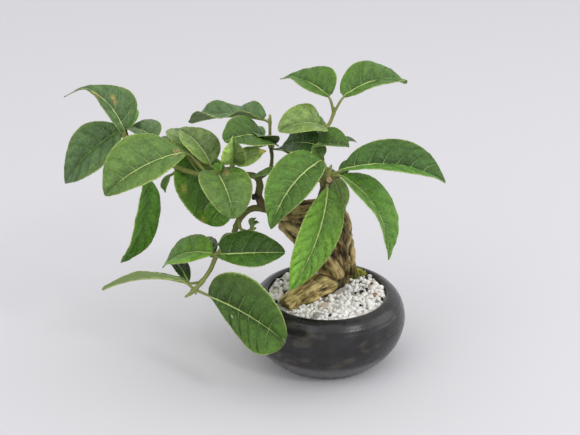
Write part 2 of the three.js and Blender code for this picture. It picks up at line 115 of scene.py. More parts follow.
# a smooth line through marks of x, y, z, girth, as the solids have it
def limbAt(marks, t):
    marks = np.asarray(marks, float)
    last = len(marks) - 1
    place = np.clip(np.asarray(t, float) * last, 0, last - 1e-6)
    i = np.floor(place).astype(int)
    w = (place - i)[:, None]
    p = marks[:, :3]
    ext = np.vstack([2 * p[0] - p[1], p, 2 * p[-1] - p[-2]])
    p0, p1, p2, p3 = ext[i], ext[i + 1], ext[i + 2], ext[i + 3]
    gap = lambda a, b: np.maximum(np.sum((a - b) ** 2, axis=1) ** 0.25, 1e-4)[:, None]
    d0, d1, d2 = gap(p0, p1), gap(p1, p2), gap(p2, p3)
    t1 = ((p1 - p0) / d0 - (p2 - p0) / (d0 + d1) + (p2 - p1) / d1) * d1
    t2 = ((p2 - p1) / d1 - (p3 - p1) / (d1 + d2) + (p3 - p2) / d2) * d1
    point = p1 + t1 * w + (3 * p2 - 3 * p1 - 2 * t1 - t2) * w ** 2 + (2 * p1 - 2 * p2 + t1 + t2) * w ** 3
    girth = marks[i, 3] + (marks[i + 1, 3] - marks[i, 3]) * (place - i)
    return point, girth


def limbLength(marks):
    point = limbAt(marks, np.linspace(0, 1, 60))[0]
    return float(np.sum(np.linalg.norm(np.diff(point, axis=0), axis=1)))


# points, girths, and a frame carried along without twist
def limbFrames(marks, step):
    count = max(4, int(round(limbLength(marks) / step)))
    t = np.linspace(0, 1, count + 1)
    point, girth = limbAt(marks, t)
    along = unit(np.gradient(point, axis=0))
    start = np.array([1.0, 0, 0]) if abs(along[0][2]) > 0.9 else np.array([0, 0, 1.0])
    side = [unit(np.cross(along[0], start))]
    for a in along[1:]:
        side.append(unit(side[-1] - a * np.dot(side[-1], a)))
    side = np.array(side)
    travelled = np.concatenate([[0], np.cumsum(np.linalg.norm(np.diff(point, axis=0), axis=1))])
    return {"t": t, "point": point, "girth": girth, "along": along, "side": side,
            "other": np.cross(along, side), "travelled": travelled}


def ringAngles(sides):
    return np.arange(sides) / sides * 2 * math.pi


def paint(mesh, tint):
    rgba = np.hstack([tint, np.ones((len(tint), 1))]).astype(np.float32)
    mesh.color_attributes.new("tint", "FLOAT_COLOR", "POINT").data.foreach_set("color", rgba.ravel())


# gathers points, faces, face slots, tints and bake places of one piece
class Bunch:
    def __init__(self):
        self.points, self.faces, self.slots, self.tints, self.places = [], [], [], [], []
        self.count = 0

    def add(self, points, faces, slots, tints, places=None):
        self.points.append(points)
        self.faces.extend([tuple(int(v) + self.count for v in f) for f in faces])
        self.slots.extend(slots if hasattr(slots, "__len__") else [slots] * len(faces))
        self.tints.append(np.broadcast_to(tints, (len(points), 3)))
        if places is not None:
            self.places.append(places)
        self.count += len(points)

    def piece(self, name, materials):
        mesh = bpy.data.meshes.new(name)
        mesh.from_pydata((np.vstack(self.points) * mm).tolist(), [], self.faces)
        for m in materials:
            mesh.materials.append(m)
        mesh.polygons.foreach_set("material_index", np.array(self.slots, np.int32))
        mesh.polygons.foreach_set("use_smooth", np.ones(len(self.faces), bool))
        paint(mesh, np.vstack(self.tints))
        if self.places:
            spread = mesh.uv_layers.new(name="OFBake")
            spread.data.foreach_set("uv", np.vstack(self.places).astype(np.float32).ravel())
        mesh.update()
        return show(name, mesh)


# quads between rings of the same count, with closed ends
def ringFaces(rings, sides):
    faces = []
    for i in range(0, (rings - 1) * sides, sides):
        for j in range(sides):
            k = (j + 1) % sides
            faces.append((i + j, i + k, i + sides + k, i + sides + j))
    last = (rings - 1) * sides
    return faces + [tuple(range(sides - 1, -1, -1)), tuple(range(last, last + sides))]


# shader nodes, and groups that several materials share
def fill(node, values):
    for label, value in values.items():
        node.inputs[label].default_value = value


def newGroup(name, takes, gives):
    tree = bpy.data.node_groups.new(name, "ShaderNodeTree")
    kind = lambda label: "NodeSocketColor" if label == "Color" else "NodeSocketFloat"
    for label, value in takes.items():
        tree.interface.new_socket(label, in_out="INPUT", socket_type=kind(label)).default_value = value
    tree.interface.new_socket(gives, in_out="OUTPUT", socket_type=kind(gives))
    return tree, tree.nodes.new("NodeGroupInput").outputs, tree.nodes.new("NodeGroupOutput").inputs[gives]


def link(a, b):
    a.id_data.links.new(a, b)


def textureNode(kind, scale):
    tree = scale.id_data
    spot = tree.nodes.new("ShaderNodeTexCoord")
    node = tree.nodes.new("ShaderNodeTex" + kind)
    link(spot.outputs["Object"], node.inputs["Vector"])
    link(scale, node.inputs["Scale"])
    return node


def noiseNode(scale, detail, rough=0.55):
    node = textureNode("Noise", scale)
    fill(node, {"Detail": detail, "Roughness": rough})
    return node.outputs["Fac"]


# distance to the borders of small cells
def cellNode(scale):
    node = textureNode("Voronoi", scale)
    node.feature = "DISTANCE_TO_EDGE"
    return node.outputs["Distance"]


def mathNode(kind, a, b):
    sockets = [v for v in (a, b) if hasattr(v, "is_output")]
    node = sockets[0].id_data.nodes.new("ShaderNodeMath")
    node.operation = kind
    for v, place in zip((a, b), node.inputs):
        if v in sockets:
            link(v, place)
        else:
            place.default_value = v
    return node.outputs[0]


# a value that noise swings about a middle
def swingNode(noise, amount, middle):
    swing = mathNode("MULTIPLY", mathNode("SUBTRACT", noise, 0.5), amount)
    return mathNode("ADD", mathNode("MULTIPLY", swing, 2.0), middle)


# a colour that drifts lighter and darker, with a lighter net along the borders of small cells
def makeDrift():
    takes = {"Color": (1, 1, 1, 1), "Scale": 300.0, "Amount": 0.2, "Net": 0.0, "Net Scale": 400.0}
    tree, ins, out = newGroup("toneDrift", takes, "Color")
    gain = swingNode(noiseNode(ins["Scale"], 4), ins["Amount"], 1.0)
    away = mathNode("MULTIPLY", cellNode(ins["Net Scale"]), 9.0)
    line = mathNode("MAXIMUM", mathNode("SUBTRACT", 0.75, away), -0.25)
    gain = mathNode("ADD", gain, mathNode("MULTIPLY", line, ins["Net"]))
    scaled = tree.nodes.new("ShaderNodeVectorMath")
    scaled.operation = "SCALE"
    link(ins["Color"], scaled.inputs[0])
    link(gain, scaled.inputs["Scale"])
    link(scaled.outputs[0], out)
    return tree


# roughness that wanders about a middle value
def makeSheen():
    tree, ins, out = newGroup("sheenDrift", {"Middle": 0.5, "Swing": 0.1, "Scale": 400.0}, "Roughness")
    link(swingNode(noiseNode(ins["Scale"], 3), ins["Swing"], ins["Middle"]), out)
    return tree


# height of fine grain for a bump
def makeGrain():
    tree, ins, out = newGroup("fineGrain", {"Scale": 900.0, "Cells": 0.5}, "Height")
    net = mathNode("MULTIPLY", cellNode(ins["Scale"]), ins["Cells"])
    link(mathNode("ADD", noiseNode(ins["Scale"], 5, 0.6), net), out)
    return tree


driftGroup, sheenGroup, grainGroup = makeDrift(), makeSheen(), makeGrain()
plainLook = {"driftScale": 900, "shine": 0.4, "net": 0, "netScale": 400, "roughSwing": 0.08,
             "roughScale": 300, "grain": 0.3, "grainDeep": 0.1, "cells": 0}  # unless a look says otherwise


def groupNode(tree, group, values):
    node = tree.nodes.new("ShaderNodeGroup")
    node.node_tree = group
    fill(node, values)
    return node


def newMaterial(name):
    mat = bpy.data.materials.new(name)
    mat.use_nodes = True
    return mat, mat.node_tree, mat.node_tree.nodes["Principled BSDF"]


# a finish from one dictionary: tint comes from the mesh unless a plain base is given
def finish(name, own):
    look = {**plainLook, **own}
    mat, tree, shader = newMaterial(name)
    fill(shader, {"Specular IOR Level": look["shine"]})
    drift = groupNode(tree, driftGroup, {"Scale": look["driftScale"], "Amount": look["drift"],
                                         "Net": look["net"], "Net Scale": look["netScale"]})
    if "base" in look:
        fill(drift, {"Color": (*colour(look["base"]), 1)})
    else:
        tint = tree.nodes.new("ShaderNodeAttribute")
        tint.attribute_name = "tint"
        link(tint.outputs["Color"], drift.inputs["Color"])
    sheen = groupNode(tree, sheenGroup, {"Middle": look["rough"], "Swing": look["roughSwing"],
                                         "Scale": look["roughScale"]})
    grain = groupNode(tree, grainGroup, {"Scale": look["grainScale"], "Cells": look["cells"]})
    bump = tree.nodes.new("ShaderNodeBump")
    fill(bump, {"Strength": look["grain"], "Distance": look["grainDeep"] * mm})
    link(grain.outputs["Height"], bump.inputs["Height"])
    link(drift.outputs["Color"], shader.inputs["Base Color"])
    link(sheen.outputs["Roughness"], shader.inputs["Roughness"])
    link(bump.outputs["Normal"], shader.inputs["Normal"])
    return mat


def settle(piece, slot, *nodes):
    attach(piece, "root")
    if nodes:
        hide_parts(*nodes)


print("tools and shader groups ready")

# pot
potSet = {
    "underside": [(0.01, 0), (13, 0), (24, 0)],
    "outside": [(26.8, 0), (27.8, 0.8), (33.5, 6), (38, 13), (40, 20.5), (39.8, 25), (38.6, 29.5),
                (36.4, 33.2), (33.5, 35.6), (31.3, 36.2), (30.4, 35.6)],
    "inside": [(30.2, 33.5), (33.6, 30.2), (36, 20.5), (34, 13), (29, 6.6), (26, 5)],
    "bottom": [(13, 5), (0.01, 5)],
    "sides": 160, "outerRings": 72, "innerRings": 26, "wobble": 0.12, "throwRings": 0.07,
    "footLine": (12, 9),  # the foot is paler between these heights: partly a lighter band where the glaze thins out, partly a painted reflection of the bright floor
    "glaze": {"driftScale": 280, "drift": 0.26, "rough": 0.28, "roughSwing": 0.16, "roughScale": 160,
              "shine": 0.55, "grain": 0.34, "grainScale": 900, "grainDeep": 0.2},
    "dark": "0f0e0e", "light": "29282b", "brown": "494338", "foot": "6f6d6e",
}


def roundProfile(corners, count):
    marks = [(r, 0, z, 1) for r, z in corners]
    return limbAt(marks, np.linspace(0, 1, count))[0][:, [0, 2]]


def buildPot():
    sides = potSet["sides"]
    outer = roundProfile(potSet["outside"], potSet["outerRings"])
    inner = roundProfile(potSet["inside"], potSet["innerRings"])
    line = np.vstack([potSet["underside"], outer, inner, potSet["bottom"]])
    angle = ringAngles(sides)
    r, z = (np.repeat(v[:, None], sides, axis=1) for v in line.T)
    ring = np.stack([np.cos(angle)[None] * r, np.sin(angle)[None] * r, z], axis=-1)
    body = smooth(1.5, 6, z) * (r > 27)  # foot and inside stay true
    swell = potSet["wobble"] * lumps(ring / 14, 3)
    swell = swell + potSet["throwRings"] * np.sin(z * 2.6 + 0.8 * lumps(ring / 20, 5))
    ring[..., :2] *= (1 + (body * swell) / np.maximum(r, 1))[..., None]
    flat = ring.reshape(-1, 3)
    cloud = lumps(flat / 6.5, 11, 4)
    rust = smooth(0.16, 0.42, lumps(flat / [7, 7, 4], 23, 3)) * 0.7
    speck = smooth(0.5, 0.7, lumps(flat / 0.9, 31))
    dark, light, brown, foot = (colour(potSet[k]) for k in ("dark", "light", "brown", "foot"))
    tint = blend(dark, light, smooth(-0.35, 0.5, cloud) * 0.75)
    tint = blend(tint, brown, rust)
    # paler foot: a lighter band where the glaze thins, and a painted reflection of the floor
    tint = blend(tint, foot, smooth(*potSet["footLine"], flat[:, 2] + cloud) * 0.6)
    tint = blend(tint, light * 1.3, speck * 0.45)
    bunch = Bunch()
    bunch.add(flat, ringFaces(len(line), sides), 0, tint)
    return bunch.piece("potBowl", [finish("potGlaze", potSet["glaze"])])


potBowl = buildPot()
settle(potBowl, "pot_glaze", "pot")
print("pot built")

# wood
barkSet = {
    "stem": [(3, 9, 26, 7), (3.4, 10, 45, 6.2), (4.4, 9.6, 56, 7), (5, 9, 66, 7.6), (1, 5.5, 75, 7.6),
             (-11, 0, 77.6, 6.8), (-21, -4, 80.6, 4.8), (-29.5, -5, 84.3, 3.2)],
    "brace": [(-20, -2.6, 77, 5.6), (-13, 0, 69.4, 6.8), (-7, 2.5, 60, 6.8), (-1.5, 4, 51, 6.2),
              (2.2, 4.4, 45, 5.6), (4.2, 4.6, 39.5, 5.6)],
    "root": [(-21, -15.6, 34.6, 4.7), (-12, -8, 37.6, 5.6), (-3.5, -1.2, 39.2, 6), (4.2, 4.6, 39, 5.4)],
    "leg": [(13.2, 19, 31, 3.4), (12.6, 16, 43, 2.7), (12, 13, 50, 2.5), (10.6, 10, 61, 2.4),
            (8.6, 7.4, 70, 2.6), (3, 4.6, 76, 2.4)],
    "inner": [(9.4, 12, 31, 2.6), (9.6, 10, 42, 2.2), (9.2, 7, 50, 2.2), (7.6, 4, 58, 2.3), (4, 2, 67, 2.4),
              (-2, -0.6, 73, 2.4)],
    "brow": [(6, 8, 79, 2.2), (-2, 6, 82, 2.6), (-12, 1, 83, 2.4), (-22, -3.4, 83.8, 1.8)],
    "tones": {"stem": (0.72, 0.68, 0.6), "brace": (0.92, 0.88, 0.76), "root": (1.08, 1.05, 0.9),
              "leg": (0.9, 0.86, 0.82), "inner": (0.95, 0.9, 0.84), "brow": (0.85, 0.8, 0.74)},
    "hollows": [((8.4, 1.0, 76.0), 4.0, 1.6), ((-5.5, -3.0, 47.5), 4.6, 1.4), ((11.0, 7.5, 48.0), 3.4, 1.6),
                ((12.2, 6.0, 66.0), 2.6, 0.9)],  # place, reach and depth; each hollow is dented and darkened with painted shade
    "sides": 28, "step": 1.2, "voxel": 0.42, "cutAt": 34.2, "rounds": 5, "groundShadeUpTo": 38,
    "fibre": 0.6, "stretch": 0.1, "fibreDeep": 0.34, "lumpDeep": 0.7, "crackDeep": 0.34,
    "light": "d8c48e", "mid": "80703f", "dark": "291f0c", "green": "837d44",
    "look": {"driftScale": 700, "drift": 0.16, "rough": 0.68, "roughSwing": 0.12, "grain": 0.6,
             "grainScale": 2600, "grainDeep": 0.2},
}
strandNames = list(barkSet["tones"])
barkMat = finish("fibrousBark", barkSet["look"])


def tubePoints(frames, sides):
    angle, r = ringAngles(sides)[None], frames["girth"][:, None]
    return (frames["point"][:, None] + frames["side"][:, None] * (np.cos(angle) * r)[..., None]
            + frames["other"][:, None] * (np.sin(angle) * r)[..., None])


def joinedWood():
    bunch = Bunch()
    for name in strandNames:
        ring = tubePoints(limbFrames(barkSet[name], barkSet["step"]), barkSet["sides"])
        bunch.add(ring.reshape(-1, 3), ringFaces(len(ring), barkSet["sides"]), 0, (0, 0, 0))
    rough = bunch.piece("strands", [])
    mod = rough.modifiers.new("join", "REMESH")
    mod.mode = "VOXEL"
    mod.voxel_size = barkSet["voxel"] * mm
    mesh = bpy.data.meshes.new_from_object(rough.evaluated_get(bpy.context.evaluated_depsgraph_get()))
    bpy.data.objects.remove(rough)
    shape = bmesh.new()
    shape.from_mesh(mesh)
    whole = list(shape.verts) + list(shape.edges) + list(shape.faces)
    level = (0, 0, barkSet["cutAt"] * mm)
    bmesh.ops.bisect_plane(shape, geom=whole, plane_co=level, plane_no=(0, 0, 1), clear_inner=True)
    bmesh.ops.holes_fill(shape, edges=[e for e in shape.edges if e.is_boundary], sides=0)
    for _ in range(barkSet["rounds"]):
        free = [v for v in shape.verts if v.co.z > level[2] + 1e-6]
        bmesh.ops.smooth_vert(shape, verts=free, factor=0.5, use_axis_x=True, use_axis_y=True,
                              use_axis_z=True)
    bmesh.ops.triangulate(shape, faces=[f for f in shape.faces if len(f.verts) > 4])
    shape.to_mesh(mesh)
    shape.free()
    return mesh


# each point's place along and across the strand that it lies on
def strandPlace(points):
    best = np.full(len(points), 1e9)
    second = best.copy()
    local, tone = np.zeros((len(points), 3)), np.ones((len(points), 3))
    batch = 6000
    for k, name in enumerate(strandNames):
        f = limbFrames(barkSet[name], 1.0)
        for at in range(0, len(points), batch):
            p = points[at:at + batch]
            apart = np.linalg.norm(p[:, None] - f["point"][None], axis=2)
            near = np.argmin(apart, axis=1)
            row = np.arange(len(p))
            score = apart[row, near] / f["girth"][near]
            away = p - f["point"][near]
            here = np.stack([np.sum(away * f["side"][near], axis=1), np.sum(away * f["other"][near], axis=1),
                             f["travelled"][near] + np.sum(away * f["along"][near], axis=1) + 90 * k], axis=1)
            part = slice(at, at + len(p))
            better = score < best[part]
            second[part] = np.where(better, best[part], np.minimum(second[part], score))
            best[part] = np.where(better, score, best[part])
            local[part] = np.where(better[:, None], here, local[part])
            tone[part] = np.where(better[:, None], barkSet["tones"][name], tone[part])
    return local, tone, smooth(0.22, 0.02, second - best)


def barkRelief(points, way):
    s = barkSet
    local, tone, crease = strandPlace(points)
    streak = local * [1 / s["fibre"], 1 / s["fibre"], s["stretch"] / s["fibre"]]
    fibre = 1 - 2 * np.abs(lumps(streak, 41, 3))
    broad = lumps(local * [0.3, 0.3, 0.12], 43, 2)
    crack = smooth(0.55, 0.95, 1 - np.abs(lumps(streak * [0.4, 0.4, 0.6], 47, 2)) * 2.4)
    crack = crack * smooth(-0.1, 0.4, lumps(points / 5, 49))
    knots = lumps(points / 4.2, 53, 2)
    warts = lumps(points / 1.5, 57, 2)
    hollowShade, deep = 0, 0
    for place, reach, depth in s["hollows"]:
        near = smooth(reach, reach * 0.3, np.linalg.norm(points - place, axis=1) + 0.9 * warts)
        hollowShade, deep = np.maximum(hollowShade, near), deep + near * depth
    high = s["fibreDeep"] * fibre + s["lumpDeep"] * (broad * 0.9 + knots * 0.8) + 0.3 * warts
    high = high - s["crackDeep"] * crack - 0.7 * crease - deep
    lift = 0.36 + 0.44 * fibre + 0.85 * broad + 0.3 * knots + 0.22 * warts - 0.28 * crack
    lift = np.clip(lift + 0.2 * way[:, 2], 0, 1)  # painted light and shade: the upper side is paler, the underside darker
    tint = blend(colour(s["dark"]), colour(s["mid"]), smooth(0.05, 0.5, lift))
    tint = blend(tint, colour(s["light"]), smooth(0.45, 0.95, lift) * 0.9) * tone
    tint = blend(tint, colour(s["green"]) * tone, smooth(0.1, 0.6, lumps(points / 6, 59, 2)) * 0.4)
    # painted shade: darker in the creases between strands and in the hollows
    return high, blend(tint, colour(s["dark"]) * 0.5, np.clip(0.75 * crease + 0.85 * hollowShade, 0, 0.9))


def buildTrunk():
    mesh = joinedWood()
    points, way = (np.empty((len(mesh.vertices), 3), np.float32) for _ in range(2))
    mesh.vertices.foreach_get("co", points.ravel())
    mesh.vertices.foreach_get("normal", way.ravel())
    points = points / mm
    high, tint = barkRelief(points, way)
    cut = points[:, 2] < barkSet["cutAt"] + 0.05
    points = points + way * np.where(cut, 0, high)[:, None]
    mesh.vertices.foreach_set("co", (points * mm).astype(np.float32).ravel())
    # painted shade: the bark darkens towards the gravel
    groundShade = smooth(barkSet["groundShadeUpTo"], barkSet["cutAt"] + 0.4, points[:, 2]) * 0.45
    paint(mesh, tint * (1 - groundShade[:, None]))
    mesh.materials.clear()
    mesh.materials.append(barkMat)
    mesh.polygons.foreach_set("use_smooth", np.ones(len(mesh.polygons), bool))
    mesh.update()
    return show("trunkBark", mesh)


trunkBark = buildTrunk()
settle(trunkBark, "bark", "trunk", "trunk_hook")
print("trunk built,", len(trunkBark.data.polygons), "faces")

boughSet = {
    "bough_upper_left": [(-26, -4.6, 82.6, 2.6), (-32, -5, 86, 2.1), (-34, -4, 90.5, 1.8),
                         (-33.4, -3, 96, 1.6), (-35, -2.4, 99.6, 1.4), (-39.5, -3, 101, 1.3),
                         (-45, -5, 102.4, 1.25)],
    "bough_lower_left": [(-28, -5.6, 83, 1.9), (-32.7, -5.6, 84.4, 1.7), (-37.5, -7, 84.9, 1.5),
                         (-41.5, -10, 83.2, 1.4), (-44.4, -13, 79.2, 1.35), (-45.9, -15, 75.6, 1.3)],
    "bough_back": [(-34, -2.4, 98.6, 1), (-28.4, 2.6, 101.8, 0.9), (-27.6, 8, 106, 0.8),
                   (-28.1, 11, 108.5, 0.75)],
    "bough_right": [(-2, 3, 76, 3.6), (-3.8, 0, 82, 3.1), (-3.1, -6, 89, 2.6), (-1.4, -11, 98.6, 2.2),
                    (-0.8, -13, 101.4, 2.1)],
    "bough_top": [(-2.2, -8.6, 94, 1.4), (-3.6, -3.4, 101.4, 1.25), (-3.3, 2.4, 107.4, 1.1),
                  (-5.4, 7.6, 113, 1)],
}
boughLook = {
    "sides": 18, "step": 0.45, "relief": 0.16,
    "old": "33281a", "mid": "5a4a2c", "green": "666d35", "dark": "1d150c",
    "greenFrom": (0.35, -0.1, -0.3, 0.8, -0.2),  # of each bough in turn
    "look": {"drift": 0.14, "rough": 0.6, "grain": 0.4, "grainScale": 3000},
}
boughMat = finish("thinBark", boughLook["look"])


def buildBoughs():
    bunch, sides = Bunch(), boughLook["sides"]
    old, mid, green, dark = (colour(boughLook[k]) for k in ("old", "mid", "green", "dark"))
    for k, marks in enumerate(boughSet.values()):
        f = limbFrames(marks, boughLook["step"])
        ring = tubePoints(f, sides)
        flat = ring.reshape(-1, 3)
        away = ring - f["point"][:, None]
        far = np.repeat(f["travelled"], sides)
        local = np.stack([np.sum(away * f["side"][:, None], axis=2).ravel(),
                          np.sum(away * f["other"][:, None], axis=2).ravel(), far + 70 * k], axis=1)
        fibre = 1 - 2 * np.abs(lumps(local * [1.3, 1.3, 0.3], 61, 2))
        rings = 0.5 + 0.5 * np.sin(far * 2.1 + 2 * lumps(local * 0.5, 67))
        knot = lumps(local * [0.35, 0.35, 0.22], 71, 2)
        high = boughLook["relief"] * (fibre + 0.5 * rings) + 0.28 * knot
        flat = flat + unit(away).reshape(-1, 3) * high[:, None]
        t = np.repeat(f["t"], sides)
        tint = blend(old, mid, smooth(-0.4, 0.9, fibre))
        start = boughLook["greenFrom"][k]
        tint = blend(tint, green, smooth(start - 0.2, start + 0.35, t + 0.15 * knot) * 0.85)
        tint = blend(tint, dark, smooth(0.1, 0.75, -fibre) * 0.6)
        bunch.add(flat, ringFaces(len(ring), sides), 0, tint)
    return bunch.piece("boughBark", [boughMat])


boughBark = buildBoughs()
settle(boughBark, "twig_bark", *boughSet)
print("boughs built")

# leaves, shoots and buds
leafTints = {  # base colour of the blade, dealt out leaf by leaf
    "deep": "30501a", "dark": "3c601e", "shade": "44661e", "mid": "4d7424", "fresh": "568426",
    "bright": "6a9834", "light": "5d7d38", "pale": "748f4a", "dull": "52703e", "lush": "55842a",
}
plainLeaf = {  # a leaf row below tells what differs from this
    "twig": 0, "arch": 0.12, "roll": 0, "fold": 18, "hang": 0, "lobe": 0, "bend": 0, "widest": 0.42,
    # painted light and shade: each half of the blade, and the blade from foot to point, made lighter or
    # darker by how it faces the light
    "blunt": 0.92, "lean": 0, "tail": 0.3, "skew": 0, "wave": 0.6, "crest": 0, "waves": 0, "halves": (1, 1),
    "ends": (1, 1), "rim": 0.85, "veins": True, "marks": (),
}
leafSet = {
    "rowStep": 0.5, "columns": [*np.linspace(0, 0.93, 12), 0.97, 1.0], "fullSize": 40, "veinSpacing": 6.6,
    "veinWide": 0.36, "shear": 0.22, "tooth": 0.36, "quilt": 1.0, "pucker": 0.34, "thick": 0.34,
    "midrib": 0.55, "rim": "c3d584", "under": "8fa06a", "veinRough": 0.42,
    "top": {"driftScale": 520, "drift": 0.5, "net": 0.26, "netScale": 430, "rough": 0.36, "roughSwing": 0.14,
            "shine": 0.36, "grain": 0.8, "grainScale": 620, "cells": 2.2, "grainDeep": 0.4},
    "below": {"driftScale": 300, "drift": 0.1, "rough": 0.6, "shine": 0.35, "grainScale": 900, "cells": 1.2},
}
shootSet = {
    "sides": 10, "stalkSides": 8, "stubSides": 12, "step": 0.6, "stubStep": 0.25, "flute": 0.06,
    "node": 0.32, "stalk": 0.62, "budLength": 2.6, "budGirth": 0.75,
    "brown": "5f5230", "green": "7f8643", "stalkTint": "929d50", "bud": "93a05a", "budTip": "7a6a3a",
    "pith": "1d150c",
    "look": {"drift": 0.12, "rough": 0.5, "shine": 0.45, "grainScale": 2600, "grainDeep": 0.08},
}
bladeMat = finish("leafTop", leafSet["top"])
underMat = finish("leafUnder", leafSet["below"])
veinMats = [finish(name, {**leafSet["below"], "base": base, "rough": leafSet["veinRough"]})
            for name, base in (("veinFaint", "5b8030"), ("veinPale", "86a656"), ("ribPale", "b6ca7c"))]
shootMat = finish("greenShoot", shootSet["look"])


def turned(v, axis, degrees):
    a = math.radians(degrees)
    return v * math.cos(a) + np.cross(axis, v) * math.sin(a) + axis * np.dot(axis, v) * (1 - math.cos(a))


def leafFrame(leaf):
    foot, reach, arch, hang, bend = (leaf[k] for k in ("foot", "reach", "arch", "hang", "bend"))
    length = np.linalg.norm(reach)
    along = reach / length
    face = unit(np.array([0, 0, 1.0]) - along * along[2])
    face = turned(face, along, leaf["roll"])
    across = np.cross(along, face)

    # arched up between foot and point, bent to one side, with a point that may hang
    def middle(s):
        s = np.asarray(s, float)[..., None]
        bow = 4 * s * (1 - s) * length
        droop = hang * length * np.clip((s - 0.8) / 0.2, 0, None) ** 2
        return foot + s * reach + (arch * bow - droop) * face + bend * bow * across
    return middle, face, length


# half width along the blade, as a share of the widest place, on either side of the rib
def outline(leaf, s, side):
    widest, fall = leaf["widest"] + side * leaf["lean"], leaf["blunt"]
    rise = fall * widest / (1 - widest)
    full = widest ** rise * (1 - widest) ** fall
    tail = 1 - leaf["tail"] * np.exp(-((s - 0.88) / 0.085) ** 2)  # drawn out to a point
    share = np.clip(s, 1e-6, 1) ** rise * np.clip(1 - s, 1e-6, 1) ** fall / full * tail
    return share * (1 + side * leaf["skew"])


# rows run along the side veins: place, side of a vein, tooth phase, share of the way to the next vein
def leafRows(length):
    veins = max(3, int(round(length * 0.82 / leafSet["veinSpacing"])))
    at = 0.05 + 0.8 * (np.arange(veins) + 0.35) / veins
    edges = np.concatenate([[0], at, [1]])
    rows = []
    for i in range(len(edges) - 1):
        gap = edges[i + 1] - edges[i]
        inner = max(3, 3 * int(round(gap * length / leafSet["rowStep"] / 3)))
        rows.append((edges[i], 1, 0.0, 0.0) if i else (0.0, 0, 0.0, 0.5))
        for j in range(1, inner):
            rows.append((edges[i] + gap * j / inner, 0, (j % 3) / 3, j / inner))
        if i < len(edges) - 2:
            rows.append((edges[i + 1], -1, 0.0, 1.0))
    rows.append((1.0, 0, 0.0, 0.5))
    return np.array(rows)


def leafTint(leaf, s, out, part, rows, number):
    length = np.linalg.norm(leaf["reach"])
    (left, right), (near, far) = leaf["halves"], leaf["ends"]
    base = colour(leafTints[leaf["tint"]])
    # painted light and shade on each half and along the blade
    base = base * (np.where(out < 0, left, right) * (near + (far - near) * s))[..., None]
    local = np.stack([s * length, out, np.full_like(s, number * 13.0)], axis=-1)
    patch = lumps(local / 7.0, 77, 2)
    fine = lumps(local / 1.6, 83, 2)
    tint = base * (1 + 0.24 * patch + 0.26 * fine)[..., None]
    tint = blend(tint, base * [1.5, 1.3, 1.1], smooth(0.25, 0.9, patch) * 0.35)
    puff = np.sin(math.pi * rows[:, 3:4]) * np.sqrt(np.clip(4 * part * (1 - part), 0, 1))
    grooveShade = (0.86 + 0.22 * puff) * (0.76 + 0.28 * smooth(0.0, 0.4, part))  # painted shade: darker beside veins and rib, where the blade dips
    tint = tint * grooveShade[..., None]
    tint = blend(tint, base * [1.35, 1.25, 0.6], smooth(0.55, 1.0, part) * 0.5)
    tint = blend(tint, colour(leafSet["rim"]), smooth(0.955, 1.0, part) * leaf["rim"])
    for at, aside, size, code, strength in leaf["marks"]:
        away = np.hypot((s - at) * length, out - aside)
        ragged = away + 0.5 * size * lumps(local / max(size * 0.6, 0.3), 91)
        tint = blend(tint, colour(code), smooth(size, size * 0.45, ragged) * strength)
    lower = blend(colour(leafSet["under"]), base * 1.25, np.full_like(s, 0.45))
    lower = lower * (1 + 0.12 * patch)[..., None]
    return np.vstack([tint.reshape(-1, 3), lower.reshape(-1, 3)])


